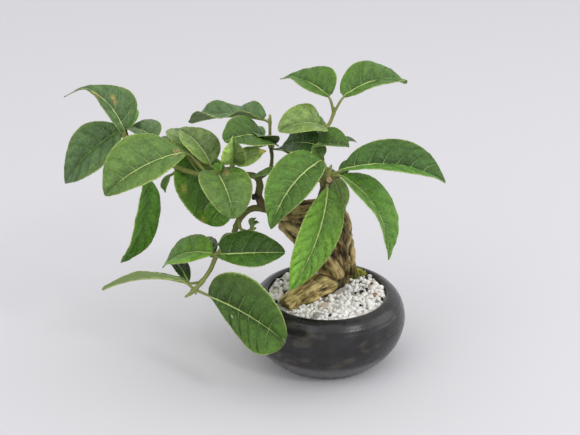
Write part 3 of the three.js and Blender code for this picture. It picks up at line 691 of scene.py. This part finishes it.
def buildBlade(bunch, leaf, random, number, cells):
    middle, face, length = leafFrame(leaf)
    scale = min(1.0, length / leafSet["fullSize"])
    rows = leafRows(length)
    col = np.array(leafSet["columns"])
    many = len(col)
    sign = np.concatenate([-np.ones(many), [0], np.ones(many)])  # left margin to right margin
    size = np.concatenate([col[::-1], [0], col])
    rib = np.concatenate([np.zeros(many - 1), [1, 2, 1], np.zeros(many - 1)])
    u = rows[:, :1]
    handed = np.where(sign < 0, 1.0, 0.9 + 0.2 * random.random())
    shear = leafSet["shear"] * 4 * u * (1 - u) * (0.55 * size + 0.45 * size ** 2) * handed
    veinHalf = leafSet["veinWide"] * scale * (1 - 0.75 * size) / 2 / length
    s = 0.012 + 0.982 * np.clip(u + shear + rows[:, 1:2] * veinHalf, 0, 1)
    half = np.maximum(leaf["width"] / 2 * outline(leaf, s, sign), 0.3)
    tooth = (rows[:, 2:3] - 0.3) * leafSet["tooth"] * scale
    tooth = tooth * smooth(0.93, 1.0, size) * smooth(0.04, 0.2, s)
    ribHalf = np.minimum(leafSet["midrib"] * scale * (1 - 0.72 * s), 0.5 * half)
    out = np.where(rib == 2, 0, np.where(rib == 1, ribHalf, ribHalf + (half - ribHalf) * size - tooth))
    part = out / half
    fold = math.radians(leaf["fold"])
    at = s - leaf["lobe"] * size ** 1.5 * np.exp(-s / 0.12)  # a lobed base runs back past the foot
    along = unit(middle(at + 0.01) - middle(at - 0.01))
    side = unit(np.cross(along, face))
    up = np.cross(side, along)
    # the halves rise from the rib, swell between the veins and ripple at the margin
    rise = out * math.sin(fold) * (1.35 - 0.35 * part)
    puff = np.sin(math.pi * rows[:, 3:4]) ** 0.8 * (rows[:, 1:2] == 0)
    cell = np.cumsum(rows[:, 1] == 1).astype(int)
    uneven = 0.45 + 1.1 * random.random((2, cell[-1] + 1))
    puff = puff * np.where(sign < 0, uneven[0][cell][:, None], uneven[1][cell][:, None])
    quilt = leafSet["quilt"] * scale * puff * np.sqrt(np.clip(4 * part * (1 - part), 0, 1))
    quilt = quilt * half / (half + 2)
    flatPlace = np.stack([s * length, sign * out, np.full_like(s, number * 9.0)], axis=-1)
    quilt = quilt + leafSet["pucker"] * scale * lumps(flatPlace / 2.3, 87, 2) * smooth(0.0, 0.15, part)
    phase = random.random(2) * 6.28
    ripple = np.where(sign < 0, np.sin(9.5 * s + phase[0]), np.sin(8.5 * s + phase[1]))
    if leaf["waves"]:
        ripple = np.cos(2 * math.pi * leaf["waves"] * (s - leaf["crest"]))
    ripple = ripple * leaf["wave"] * scale
    ripple = ripple * part ** 2 * smooth(0.0, 0.25, s) * smooth(1.0, 0.8, s)
    lift = rise + quilt + ripple
    mid = middle(at) + side * (sign * out * math.cos(fold))[..., None] + up * lift[..., None]
    normal = unit(np.cross(np.gradient(mid, axis=1), np.gradient(mid, axis=0)))
    normal = normal * np.where(np.sum(normal * up, axis=2) < 0, -1, 1)[..., None]
    thick = leafSet["thick"] * (1 - 0.45 * part) * max(scale, 0.6)
    ribLow = np.where(rib == 2, 0.45, np.where(rib == 1, 0.15, 0)) * scale * (1 - 0.7 * s)
    veinLow = 0.1 * scale * (rows[:, 1:2] != 0) * (1 - part)
    top = mid + normal * (thick / 2)[..., None]
    low = mid - normal * (thick / 2 + ribLow + veinLow)[..., None]
    # top and underside share their rim
    deep, wide = s.shape
    n = deep * wide
    grid = np.arange(n).reshape(deep, wide)
    quads = np.stack([grid[:-1, :-1], grid[:-1, 1:], grid[1:, 1:], grid[1:, :-1]], axis=-1)
    veinRow = ((rows[:-1, 1] == -1) & (rows[1:, 1] == 1))[:, None] * np.array([0] + [1] * (wide - 3) + [0])
    veinSlot, ribSlot = (3, 4) if leaf["veins"] else (2, 2)
    vein = np.maximum(veinRow * veinSlot, (rib[:-1] * rib[1:] > 0)[None] * ribSlot).ravel()
    quads = quads.reshape(-1, 4)
    loop = np.concatenate([grid[:, 0], grid[-1, 1:], grid[-2::-1, -1], grid[0, -2:0:-1]])
    nextOne = np.roll(loop, -1)
    rim = np.stack([loop, nextOne, nextOne + n, loop + n], axis=1)
    faces = np.vstack([quads, quads[:, ::-1] + n, rim])
    slots = np.concatenate([vein, np.where(vein, vein, 1), np.zeros(len(rim))]).astype(int)
    # each leaf has two flat places in the bake, for its top and its underside
    inCell = np.stack([np.broadcast_to(sign * size * 0.46 + 0.5, s.shape), s * 0.92 + 0.04], axis=-1)
    places = np.vstack([(inCell.reshape(-1, 2) + [k % cells, k // cells]) / cells
                        for k in (2 * number, 2 * number + 1)])
    rimTop = np.stack([loop, nextOne, nextOne, loop], axis=1)
    places = places[np.vstack([quads, quads[:, ::-1] + n, rimTop]).ravel()]
    tint = leafTint(leaf, s, sign * out, part, rows, number)
    bunch.add(np.vstack([top.reshape(-1, 3), low.reshape(-1, 3)]), faces, slots, tint, places)


def addTube(bunch, marks, sides, step, tintAt, nodes=(), flute=0.0):
    f = limbFrames(marks, step)
    swell = np.ones(len(f["t"]))
    for place in nodes:
        away = (f["t"] - place) * f["travelled"][-1]
        swell = swell + shootSet["node"] * np.exp(-(away / 0.9) ** 2)
    f["girth"] = f["girth"] * swell
    ring = tubePoints(f, sides)
    flat = ring.reshape(-1, 3)
    away = unit(ring - f["point"][:, None]).reshape(-1, 3)
    rough = lumps(flat / 0.8, 101, 2)
    angle = np.tile(ringAngles(sides), len(ring))
    flat = flat + away * (0.06 * rough + flute * np.cos(4 * angle))[:, None]
    tint = tintAt(np.repeat(f["t"], sides)) * (1 + 0.25 * rough)[:, None]
    bunch.add(flat, ringFaces(len(ring), sides), 0, tint)


def addBud(bunch, at, along, length, girth):
    t = np.linspace(0, 1, 9)
    profile = girth * np.clip(np.sin(math.pi * (0.16 + 0.84 * t)), 0.02, 1) ** 0.75
    profile = profile * (1 + 0.12 * np.sin(t * 19))  # scales of the bud
    marks = [(*(at + along * length * k), r) for k, r in zip(t, profile)]
    shade = lambda k: blend(colour(shootSet["bud"]), colour(shootSet["budTip"]), smooth(0.35, 1.0, k))
    addTube(bunch, marks, shootSet["stalkSides"], length / 14, shade)


# a cut twig with its pith
def addStub(bunch, stub):
    at, along = np.array(stub["place"], float), unit(np.array(stub["along"], float))
    r, length, sides, step = stub["girth"], stub["length"], shootSet["stubSides"], shootSet["stubStep"]
    marks = [(*(at + along * length * k), r * w) for k, w in ((0, 1.05), (0.5, 1), (0.9, 1.02), (1, 0.93))]
    wood, cut, pith = colour(stub["tint"]), colour(stub["cut"]), colour(shootSet["pith"])
    addTube(bunch, marks, sides, step, lambda k: blend(wood, cut, smooth(0.9, 1.0, k)))
    f = limbFrames(marks, step)
    tip, side, other = f["point"][-1], f["side"][-1], f["other"][-1]
    angle = ringAngles(sides)[:, None]
    rings = [tip + along * h + r * w * (np.cos(angle) * side + np.sin(angle) * other)
             for w, h in ((0.92, -0.02), (0.86, 0.06), (0.46, 0.05), (0.36, -0.16), (0.06, -0.24))]
    tints = np.repeat(np.array([cut, cut, cut * 0.8, pith, pith]), sides, axis=0)
    bunch.add(np.vstack(rings), ringFaces(len(rings), sides), 0, tints)


# place on its twig, foot, reach, width and tint, then what differs from a plain leaf;
# a mark has its place along the leaf, its distance from the rib, size, tint and strength
def grow(at, foot, reach, width, tint, **own):
    foot, reach = np.array(foot, float), np.array(reach, float)
    return {**plainLeaf, **own, "at": at, "foot": foot, "reach": reach, "width": width, "tint": tint}


brownMark, yellowMark, scarMark = "9a7a4a", "b9b455", "a58a55"
sprays = {}
sprays["right"] = {
    "limb": "right", "seed": 11, "greenFrom": 0.4,
    "stem": [(-0.6, -14, 105.4, 1.5), (0.4, -13.6, 108.6, 1.2)],
    "stubs": [{"place": (-0.4, -15.2, 103.6), "along": (0.1, -0.8, 0.35), "girth": 1.5, "length": 2.6,
               "tint": "5b4c2a", "cut": "b39a68"}],
    "leaves": [
        grow(0.1, (-1, -20, 102), (-18, -22, -44), 22.6, "bright", arch=0.06, roll=-58, bend=-0.05,
             lean=0.07, tail=0.05, skew=0.1, halves=(0.8, 1.08), ends=(0.74, 1.22), rim=0.9),
        grow(0.1, (2.2, -5.7, 101.6), (5.7, 5, -22), 10.5, "pale", arch=0.03, roll=108, fold=13, tail=0.1,
             halves=(1.3, 1.3)),
        grow(0.7, (6, -14, 108), (50, 2, -7.5), 28, "dark", arch=0.14, roll=17, fold=28, widest=0.48,
             blunt=0.8, tail=0, halves=(1, 1.9)),
        grow(0.6, (5.4, -18, 107), (23, -12, -39), 27.5, "fresh", arch=0.16, roll=-6, fold=16, tail=0.05,
             skew=-0.04, halves=(1.15, 0.95)),
        grow(0.7, (-3.4, -14, 113), (-24.2, -26, -24), 25.4, "mid", roll=-12, fold=16, bend=0.045,
             widest=0.38, lean=-0.05, tail=0.1, skew=0.05, halves=(0.8, 1.08), rim=0.9),
        grow(0.5, (5, -8, 105), (30, 24, -9), 13, "shade", arch=0.08),
        grow(0.3, (5, -6, 100.5), (-2, 37, -21), 20, "mid"),
        grow(0.3, (-8, -10, 101.5), (-31.2, 1.5, 0), 12, "light", arch=0.1, fold=10, tail=0.1),
    ],
}
sprays["top"] = {
    "limb": "top", "seed": 23, "greenFrom": 0.2,
    "stem": [(-4, 11.6, 117.4, 0.95), (0.5, 15, 120.5, 0.85), (3, 18, 125.6, 0.75)],
    "leaves": [
        grow(0.16, (-4.5, 4, 113.4), (-18, 5, -2), 23, "deep", roll=-20, fold=14),
        grow(0.16, (-6.2, 2.5, 113.2), (16.2, -2.5, 1), 23, "shade", roll=4, fold=20, blunt=0.8, tail=0),
        grow(0.66, (-3.8, 13, 120.4), (-20.5, -12, 1.7), 22.5, "pale", arch=0.14, roll=-24, fold=22,
             widest=0.3, blunt=0.6, lean=-0.08, tail=0),
        grow(0.6, (-4, 19, 115.5), (-16, 32, -13), 17, "fresh"),
        grow(0.99, (0.7, 19, 133), (-24.5, 25, 1), 25, "mid", roll=-10, fold=28, widest=0.28, blunt=1.9,
             tail=0.1),
        grow(0.99, (7.3, 19, 133), (32.5, 25, -1.5), 24.5, "mid", arch=0.14, roll=14, fold=26, blunt=0.8,
             tail=0),
        grow(0.16, (7.4, 8, 114.2), (6.8, 2, -1.4), 7.4, "dull", fold=12, tail=0),
        grow(0.1, (-4.7, 0.5, 116.4), (0, -3.5, -7.5), 7.6, "light", fold=12, tail=0),
    ],
}
sprays["back"] = {
    "limb": "back", "seed": 37, "greenFrom": 0.5,
    "stem": [(-28.6, 15.6, 115.6, 0.7), (-28.6, 19.6, 122, 0.65)],
    "leaves": [
        grow(0.25, (-25, 11, 109), (17, -13, -2.5), 16, "shade", arch=0.08),
        grow(0.4, (-30.1, 14, 112), (-20, -24, 9), 25, "shade", roll=-24, fold=14, widest=0.4, blunt=0.58,
             tail=0.1),
        grow(0.25, (-29, 10, 111), (-5, -12, 9.5), 14, "dull", fold=14),
        grow(0.9, (-31, 20, 121), (-38, 16, -8), 24, "dull", arch=0.06, roll=2, fold=24, widest=0.5,
             blunt=0.5, tail=0, wave=2.6, crest=0.14, waves=1.6),
        grow(0.45, (-36, 20, 107), (-9, 34, -9), 18, "mid"),
    ],
}
sprays["upperLeft"] = {
    "limb": "upper_left", "seed": 41, "greenFrom": -0.3,
    "stem": [(-55, -8, 104.6, 1.2), (-62, -7, 103.2, 1.2), (-68, -6, 104.2, 1.2), (-74, -4, 105.6, 1.15),
             (-87, 0, 112.5, 1), (-100, 5, 118.5, 0.9)],
    "stubs": [{"place": (-34, -4.6, 90.2), "along": (-1, -0.4, 0.12), "girth": 1.5, "length": 3.2,
               "tint": "20170e", "cut": "0f0b08"}],
    "twigs": [[(-47.5, -5.6, 103, 1), (-47.2, -6, 105.4, 0.9), (-46.4, -6, 107.6, 0.8)]],
    "leaves": [
        grow(0.9, (-46.1, -7, 108.9), (0.6, -7.5, 17.1), 13.5, "pale", twig=1, arch=0.1, roll=180, fold=28,
             halves=(1.9, 0.7)),
        grow(0.8, (-45, -6, 108), (15, 2, 6), 10, "pale", twig=1, roll=40, fold=10, halves=(1.25, 1.25),
             marks=[(0.92, 0, 2.2, "c9c060", 0.85)]),
        grow(0.17, (-52.8, -14, 105.3), (8, -20, -13.6), 26, "light", fold=15, lobe=0.22, widest=0.36,
             blunt=0.62, tail=0, halves=(0.92, 0.92), marks=[(0.05, -4, 2, scarMark, 0.6)]),
        grow(0.17, (-57, -6, 107.5), (-16, 16, 12), 21, "pale", halves=(1.1, 0.62)),
        grow(0.36, (-68, -9, 115), (-38, -17, -15), 35, "light", roll=-18, widest=0.52, blunt=0.88, tail=0,
             skew=0.06, marks=[(0.1, 1.6, 1.8, scarMark, 0.7), (0.16, -2.4, 1.5, scarMark, 0.6)]),
        grow(0.36, (-71.1, 6.4, 108.3), (20, -3, -36), 34, "fresh", arch=0.08, roll=34, fold=12, blunt=0.75,
             tail=0, skew=0.22, marks=[(0.3, 15, 2.4, yellowMark, 0.85), (0.72, 13, 3.2, yellowMark, 0.85),
                                       (0.8, 6, 1.6, brownMark, 0.5)]),
        grow(0.62, (-76, 9, 97), (-5, 3, -12), 9, "fresh"),
        grow(0.78, (-89, -4, 100), (-13, -10, -41), 22.4, "lush", arch=0.1, roll=-105, fold=24, bend=-0.05,
             widest=0.46, blunt=0.75, tail=0.1, skew=0.2, veins=False),
        grow(0.8, (-85, 6, 115.4), (-16, 19, -1.5), 20, "dull"),
        grow(0.99, (-99.1, 3.4, 121.1), (-23.2, 6.2, 22.2), 21.6, "dull", arch=0.175, roll=-14, fold=9,
             hang=0.374, widest=0.28, blunt=1.46, tail=0.04, skew=0.45,
             marks=[(0.46, 4.2, 1.9, "a89350", 0.85), (0.39, 3.2, 1.3, "b39c55", 0.85),
                    (0.63, -1.4, 1.5, brownMark, 0.85), (0.7, -1, 1.4, "b39c55", 0.85),
                    (0.18, 7.4, 0.6, yellowMark, 0.85)]),
        grow(0.99, (-100, 9, 120.6), (-31, 3, -30.6), 26, "dull", roll=-50, fold=14, blunt=1.1, tail=0.05,
             veins=False),
        grow(0.62, (-77, 4, 104), (-19, 36, -7), 24, "mid"),
        grow(0.2, (-66, 2, 108), (-12, 26, 5), 18, "pale"),
        grow(0.97, (-99, 11, 118.5), (-3, 34, -6), 13, "fresh"),
        grow(0.17, (-53.8, -11, 105.9), (2.4, 2, 4), 6.4, "fresh", fold=12, tail=0.1),
        grow(0.17, (-47.3, -9.5, 93.2), (-11.4, 1.5, -16.5), 13.5, "fresh", arch=0.06, roll=-90, fold=14,
             widest=0.52, blunt=0.7, tail=0, rim=0.95),
    ],
}
sprays["lowerLeft"] = {
    "limb": "lower_left", "seed": 59, "greenFrom": 0.0,
    "stem": [(-54.2, -19, 65.5, 1.25), (-57.9, -23, 58.6, 1.15), (-65.5, -27, 50, 1.05),
             (-68, -28, 48.4, 0.95)],
    "twigs": [[(-43.6, -13, 81.6, 0.9), (-42.6, -16.4, 78.4, 0.8), (-39.6, -17.8, 77.8, 0.75),
               (-36.9, -18.4, 79, 0.7)]],
    "leaves": [
        grow(0.95, (-36.4, -18.4, 79.7), (1.5, 0.4, 5.3), 7, "light", twig=1, fold=30),
        grow(0.9, (-36.8, -18.8, 79.4), (3.4, -1.2, 4), 5.5, "light", twig=1, fold=30),
        grow(0.26, (-52, -25.3, 68.8), (31.1, -8, 5), 21.5, "dark", arch=0.012, roll=30, fold=8, lobe=0.1,
             blunt=0.7, lean=0.11, tail=0, skew=-0.17, halves=(0.85, 1.25)),
        grow(0.26, (-56, -19, 66), (-26, 11, -13), 25, "bright", arch=0.14, roll=-14, fold=14,
             halves=(1.25, 0.85)),
        grow(0.78, (-69, -27, 54.5), (-42, 7, -8), 16.5, "pale", arch=0.09, roll=29, blunt=0.6, tail=0),
        grow(0.78, (-58.3, -28.5, 48.2), (37.8, -29.1, -9.4), 35.7, "shade", arch=-0.03, roll=75, fold=20,
             bend=-0.03, widest=0.59, blunt=0.5, lean=0.11, tail=0, skew=-0.24, ends=(0.76, 1.16),
             marks=[(0.34, 4, 0.9, "c2c79a", 0.85), (0.6, -4.6, 0.8, "20280f", 0.85),
                    (0.68, -2.6, 0.7, "9fae78", 0.85), (0.97, -1, 1, "8f9a6a", 0.85)]),
        grow(0.22, (-51, -15, 65), (18, 30, -15), 20, "mid"),
        grow(0.32, (-57, -15, 63), (-16, 31, -14), 18, "shade"),
        grow(0.7, (-68.5, -21, 51.5), (-13, 33, -6), 9, "deep"),
    ],
}


# the shoot carries on in line from its bough's tip
def shootMarks(plan):
    point, girth = limbAt(boughSet["bough_" + plan["limb"]], [0.98, 1.0])
    along = unit(point[1] - point[0])
    r = girth[1] * 0.9
    return [(*(point[1] - along * 0.8), r), (*(point[1] + along * 1.5), r)] + plan["stem"]


def buildSpray(name, plan):
    random = np.random.default_rng(plan["seed"])
    sticks = [shootMarks(plan)] + plan.get("twigs", [])
    leaves, shoots = Bunch(), Bunch()
    brown, green, stalkTint = (colour(shootSet[k]) for k in ("brown", "green", "stalkTint"))
    for k, marks in enumerate(sticks):
        start = plan["greenFrom"] if k == 0 else -0.5
        nodes = sorted({l["at"] for l in plan["leaves"] if l["twig"] == k})
        shade = lambda t: blend(brown, green, smooth(start - 0.1, start + 0.3, t))
        addTube(shoots, marks, shootSet["sides"], shootSet["step"], shade, nodes, shootSet["flute"])
        end = limbAt(marks, [0.95, 0.98])[0]
        addBud(shoots, end[1], unit(end[1] - end[0]), shootSet["budLength"], shootSet["budGirth"])
    cells = int(math.ceil(math.sqrt(2 * len(plan["leaves"]))))
    for number, leaf in enumerate(plan["leaves"]):
        marks = sticks[leaf["twig"]]
        around = limbAt(marks, [leaf["at"], min(leaf["at"] + 0.02, 1)])[0]
        middle, face, length = leafFrame(leaf)
        slim = min(1.0, 0.35 + length / 45)
        under = middle(np.array([0.1, 0.2])) - face * 0.3
        foot = leaf["foot"] - face * 0.25
        r = shootSet["stalk"] * slim
        stalk = [(*around[0], r * 1.3), (*foot, r), (*under[0], r * 0.75), (*under[1], r * 0.35)]
        shade = lambda t: blend(green, stalkTint, smooth(0.0, 0.6, t))
        addTube(shoots, stalk, shootSet["stalkSides"], shootSet["step"], shade)
        axil = unit(unit(foot - around[0]) + unit(around[1] - around[0] + 1e-9))
        budLength = shootSet["budLength"] * (0.7 + 0.5 * random.random())
        addBud(shoots, around[0], axil, budLength, shootSet["budGirth"])
        buildBlade(leaves, leaf, random, number, cells)
    for stub in plan.get("stubs", ()):
        addStub(shoots, stub)
    blades = leaves.piece("leaves_" + name, [bladeMat, underMat, *veinMats])
    stems = shoots.piece("shoots_" + name, [shootMat])
    settle(blades, "leaf", "spray_" + plan["limb"])
    settle(stems, "twig_bark")
    return len(leaves.faces)


for name, plan in sprays.items():
    print("spray", name, "with", buildSpray(name, plan), "leaf faces")

# gravel over the soil
gravelSet = {
    "seed": 5, "mouth": 29.9, "level": 35.1, "top": 36, "lumpy": 0.5, "overlap": 0.74,
    "layers": [{"tries": 2200, "drop": 1.6, "size": (1.4, 2.0)},
               {"tries": 3000, "drop": 0.2, "size": (1.3, 2.4)},
               {"tries": 3000, "drop": 0.1, "size": (0.8, 1.3)}],
    "tints": {"fdfcf9": 0.78, "f4f2ec": 0.12, "dcd8d0": 0.035, "9a968f": 0.03, "37332f": 0.03,
              "c0a688": 0.005},  # with their shares
    "placed": [((-1.6, -15.2), 2.3, "cdb8a0"), ((24.3, -3.6), 1.4, "b08a75")],
    "cuts": 8,
    "look": {"drift": 0.14, "rough": 0.7, "grain": 0.5, "grainScale": 2400, "grainDeep": 0.12},
    "soil": {"base": "d3cec5", "drift": 0.5, "rough": 0.9, "shine": 0.2, "grain": 0.8, "grainScale": 1800,
             "grainDeep": 0.4},
}


def ballShape():
    shape = bmesh.new()
    bmesh.ops.create_icosphere(shape, subdivisions=2, radius=1)
    points = np.array([v.co[:] for v in shape.verts])
    faces = [tuple(v.index for v in f.verts) for f in shape.faces]
    shape.free()
    return points, faces


woodFrames = [limbFrames(barkSet[name], 1.5) for name in strandNames]


# how far a point lies from the wood, below zero when it is inside
def woodGap(p):
    return min(np.min(np.linalg.norm(f["point"] - p, axis=1) - f["girth"]) for f in woodFrames)


def scatterGrains(random):
    grains = [(np.array([*xy, gravelSet["level"] + 0.5]), r, tint) for xy, r, tint in gravelSet["placed"]]
    names, odds = list(gravelSet["tints"]), np.array(list(gravelSet["tints"].values()))
    for layer in gravelSet["layers"]:
        for _ in range(layer["tries"]):
            r = random.uniform(*layer["size"])
            far = (gravelSet["mouth"] - r * 0.8) * math.sqrt(random.random())
            turn = random.random() * 2 * math.pi
            p = np.array([far * math.cos(turn), far * math.sin(turn), gravelSet["level"] - layer["drop"]])
            swell = float(lumps(p[None] * [0.16, 0.16, 0], 7)[0])
            p[2] += gravelSet["lumpy"] * swell + random.uniform(-0.35, 0.35)
            near = np.array([g[0] for g in grains]), np.array([g[1] for g in grains])
            if np.min(np.linalg.norm(near[0] - p, axis=1) - gravelSet["overlap"] * (near[1] + r)) < 0:
                continue
            gap = woodGap(np.array([p[0], p[1], gravelSet["top"]]))
            if gap < 0.3 * r:
                continue
            p[2] += 0.6 * math.exp(-gap / 4) - 0.5 * float(smooth(25, 30, far))
            dark = 1.0 + 1.3 * (p[1] > 10) + 0.6 * (p[0] < -18)  # more dark grains behind and at the left
            share = odds * np.array([1 / dark, 1, dark, dark, dark, 1])
            grains.append((p, r, names[int(random.choice(len(names), p=share / share.sum()))]))
    return grains


# sharp stones: a ball trimmed by flat cuts
def buildGravel():
    random = np.random.default_rng(gravelSet["seed"])
    ball, faces = ballShape()
    bunch = Bunch()
    grains = scatterGrains(random)
    for p, r, tint in grains:
        cuts = unit(random.normal(size=(gravelSet["cuts"], 3)))
        depth = random.uniform(0.5, 0.9, gravelSet["cuts"])
        reach = ball @ cuts.T
        trim = np.min(np.where(reach > depth, depth / np.maximum(reach, 1e-6), 1.0), axis=1)
        shape = ball * trim[:, None] * (1 + 0.1 * lumps(ball * 1.7 + p, 13))[:, None]
        shape = shape * random.uniform(0.8, 1.25, 3)
        turn = np.linalg.qr(random.normal(size=(3, 3)))[0]
        turn[:, 0] *= np.sign(np.linalg.det(turn))
        bunch.add(shape @ turn.T * r + p, faces, 0, colour(tint) * random.uniform(0.94, 1.03))
    piece = bunch.piece("gravelGrains", [finish("paleGrain", gravelSet["look"])])
    piece.data.polygons.foreach_set("use_smooth", np.zeros(len(piece.data.polygons), bool))
    return piece, len(grains)


gravelGrains, grainCount = buildGravel()
settle(gravelGrains, "gravel")
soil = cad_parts["gravel_fill"]
soil.data.materials.clear()
soil.data.materials.append(finish("soilBed", gravelSet["soil"]))
print("gravel built,", grainCount, "grains")

# a tuft of moss behind the stem
mossSet = {"place": (13.8, 18.8, 35.3), "spread": (6.4, 4.2), "high": 4.4, "blades": 760, "seed": 9,
           "tints": ("b8bb55", "a2ac48", "ccc968", "7f8d38"),
           "look": {"drift": 0.2, "rough": 0.7, "shine": 0.3, "grainScale": 2400}}


def buildMoss():
    random = np.random.default_rng(mossSet["seed"])
    bunch = Bunch()
    for _ in range(mossSet["blades"]):
        a, far = random.random() * 2 * math.pi, math.sqrt(random.random())
        base = np.array(mossSet["place"]) + [far * mossSet["spread"][0] * math.cos(a),
                                             far * mossSet["spread"][1] * math.sin(a), 0]
        base[2] += mossSet["high"] * (1 - far ** 2) * 0.6
        lean = unit(np.array([math.cos(a) * far, math.sin(a) * far, 0.9]) + random.normal(size=3) * 0.45)
        side = unit(np.cross(lean, random.normal(size=3)))
        other = np.cross(lean, side)
        long, wide = random.uniform(1.0, 2.2), random.uniform(0.18, 0.32)
        points = np.array([base + lean * long * h + (side * c + other * d * 0.4) * w
                           for h, w in ((0, wide * 0.6), (0.45, wide), (1, 0.03))
                           for c, d in ((1, 0), (0, 1), (-1, 0), (0, -1))])
        tint = colour(mossSet["tints"][int(random.integers(len(mossSet["tints"])))])
        bunch.add(points, ringFaces(3, 4), 0, tint * random.uniform(0.7, 1.15))
    return bunch.piece("mossTuft", [finish("mossGreen", mossSet["look"])])


mossTuft = buildMoss()
settle(mossTuft, "leaf")
print("moss built")

# pale floor and soft light
stageSet = {"floor": "d5d4d7", "rough": 0.85, "shine": 0.2, "reach": 4, "aim": (-0.03, 0, 0.07),
            "world": (1.0, 0.995, 1.02), "worldPower": 0.8,
            "lamps": [{"place": (-0.05, 0.0, 1.5), "size": 2.2, "power": 5.7},
                      {"place": (-0.8, -0.7, 0.9), "size": 1.0, "power": 2.8},
                      {"place": (1.0, 0.12, 0.5), "size": 0.7, "power": 2.0},
                      {"place": (0.6, -0.58, 0.7), "size": 0.16, "power": 1.8}]}


def buildStage():
    far = stageSet["reach"]
    mesh = bpy.data.meshes.new("floor")
    mesh.from_pydata([(-far, -far, 0), (far, -far, 0), (far, far, 0), (-far, far, 0)], [], [(0, 1, 2, 3)])
    floor = show("floor", mesh)
    mat, _, shader = newMaterial("paleFloor")
    fill(shader, {"Base Color": (*colour(stageSet["floor"]), 1), "Roughness": stageSet["rough"],
                  "Specular IOR Level": stageSet["shine"]})
    mesh.materials.append(mat)
    world = bpy.data.worlds.new("softRoom")
    world.use_nodes = True
    fill(world.node_tree.nodes["Background"], {"Color": (*stageSet["world"], 1),
                                               "Strength": stageSet["worldPower"]})
    scene.world = world
    for k, lamp in enumerate(stageSet["lamps"]):
        data = bpy.data.lights.new("softbox%d" % k, "AREA")
        data.size, data.energy = lamp["size"], lamp["power"]
        ob = show("softbox%d" % k, data)
        ob.location = lamp["place"]
        aim = np.array(stageSet["aim"]) - lamp["place"]
        tilt = math.atan2(math.hypot(aim[0], aim[1]), -aim[2])
        ob.rotation_euler = (tilt, 0, math.atan2(aim[1], aim[0]) - math.pi / 2)


buildStage()
print("stage set")
